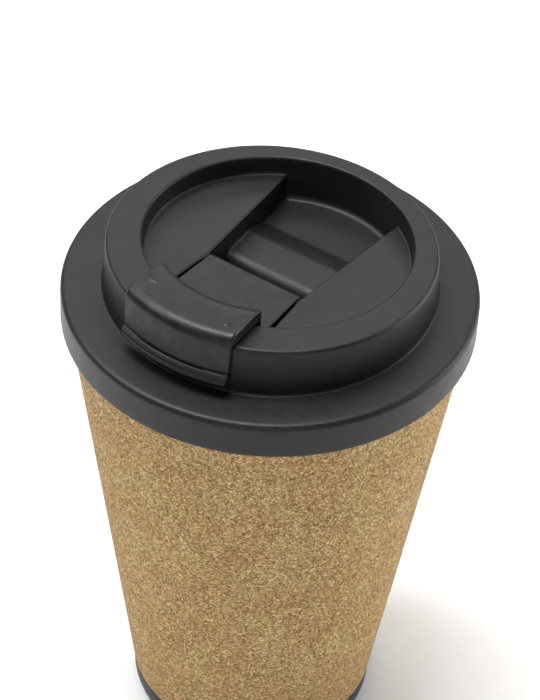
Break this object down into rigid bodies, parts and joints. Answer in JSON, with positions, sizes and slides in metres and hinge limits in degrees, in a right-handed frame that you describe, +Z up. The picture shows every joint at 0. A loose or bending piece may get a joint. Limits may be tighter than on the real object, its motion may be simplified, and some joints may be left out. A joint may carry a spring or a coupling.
{
  "type": "travel cup with flip-tab lid",
  "caption": "Tapered double-walled travel cup in a cork sleeve, with a push-on sealed lid and a hinged tab that clips over the drinking hole.",
  "frame": {"origin": "middle of the foot pad's lower face, on the cup's axis", "axes": "+Z up along the cup's axis; the drinking side of the lid is towards -Y; the plane X = 0 is the lid's plane of symmetry"},
  "size_m": [0.095, 0.095, 0.1447],
  "materials": {
    "cork": "pressed cork granules, matte",
    "shell_plastic": "satin moulded",
    "liner_steel": "brushed round the wall",
    "gasket_silicone": "translucent grey silicone",
    "base_plastic": "fine matte texture",
    "foot_rubber": "matte",
    "lid_plastic": "fine matte texture",
    "insert_plastic": "satin moulded",
    "seal_silicone": "translucent grey silicone",
    "tab_plastic": "satin, faintly mottled",
    "pin_steel": "drawn wire",
    "stopper_silicone": "matte black silicone"
  },
  "bodies": {
    "cup": {"cork_sleeve": "cork", "outer_shell": "shell_plastic", "inner_cup": "liner_steel", "liner_gasket": "gasket_silicone", "base_cap": "base_plastic", "foot_pad": "foot_rubber"},
    "seal": {"lid_seal": "seal_silicone"},
    "lid": {"lid_cover": "lid_plastic", "lid_insert": "insert_plastic", "hinge_pin": "pin_steel"},
    "tab": {"flip_tab": "tab_plastic", "tab_seal": "stopper_silicone", "vent_stopper": "stopper_silicone"}
  },
  "joints": [
    {"name": "lid_lift", "type": "slide", "parent": "cup", "child": "seal", "axis": [0, 0, 1], "range_m": [0, 0.045]},
    {"name": "lid_turn", "type": "hinge", "parent": "seal", "child": "lid", "pos_m": [0, 0, 0.12], "axis": [0, 0, 1], "continuous": true},
    {"name": "tab_flip", "type": "hinge", "parent": "lid", "child": "tab", "pos_m": [0, -0.0077, 0.13313], "axis": [-1, 0, 0], "range_deg": [0, 154]}
  ]
}
